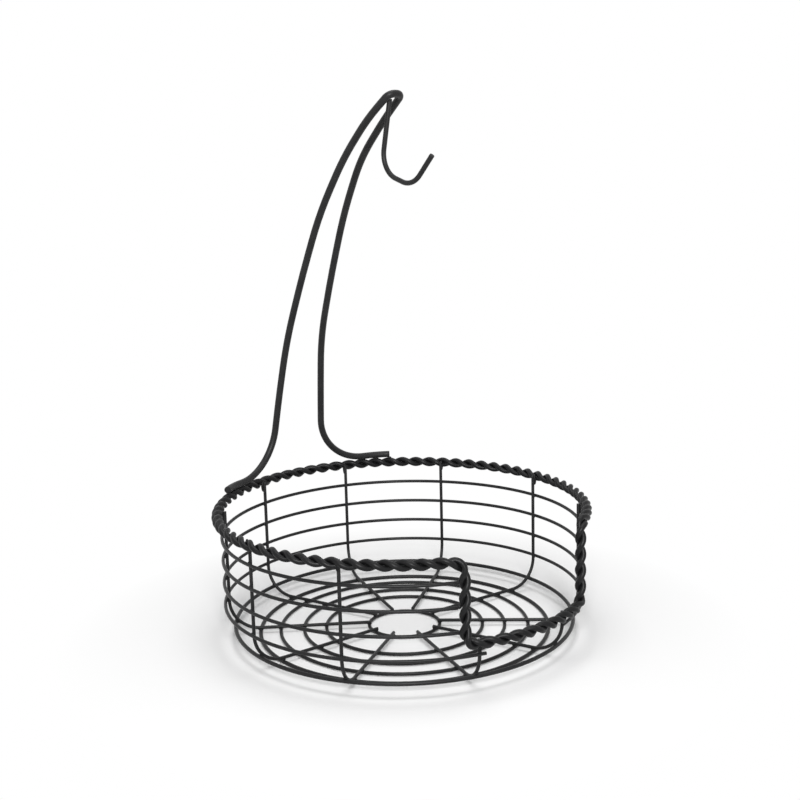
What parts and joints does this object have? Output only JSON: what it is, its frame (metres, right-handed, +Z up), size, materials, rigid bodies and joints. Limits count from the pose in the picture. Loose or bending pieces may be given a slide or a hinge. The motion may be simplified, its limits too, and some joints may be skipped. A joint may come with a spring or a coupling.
{
  "type": "wire fruit basket with hanger",
  "caption": "Round coated wire basket with a rope-twist rim that dips on one side, and a tall bent-wire hanger that carries a hook over the middle.",
  "frame": {"origin": "on the table under the middle of the basket", "axes": "+Z up, -Y towards the dip in the rim, +Y towards the hanger's feet, +X to the right when looking along +Y"},
  "size_m": [0.2942, 0.2942, 0.4142],
  "materials": {
    "rope_rim": "satin black powder coat over a rope of twisted wire",
    "thin_wire": "satin black powder coat over thin round wire",
    "heavy_wire": "satin black powder coat over heavy round wire",
    "hanger_wire": "satin black powder coat over bent round wire"
  },
  "bodies": {
    "root": {"rim_strand_a": "rope_rim", "rim_strand_b": "rope_rim", "side_ring_1": "thin_wire", "side_ring_2": "thin_wire", "side_ring_3": "thin_wire", "side_ring_4": "thin_wire", "base_ring": "heavy_wire", "foot_ring": "heavy_wire", "floor_ring_1": "thin_wire", "floor_ring_2": "thin_wire", "floor_ring_3": "thin_wire", "centre_ring": "thin_wire", "rib_01": "thin_wire", "rib_02": "thin_wire", "rib_03": "thin_wire", "rib_04": "thin_wire", "rib_05": "thin_wire", "rib_06": "thin_wire", "rib_07": "thin_wire", "rib_08": "thin_wire", "rib_09": "thin_wire", "rib_10": "thin_wire", "hanger_arch": "hanger_wire", "hanging_hook": "hanger_wire"}
  },
  "joints": []
}
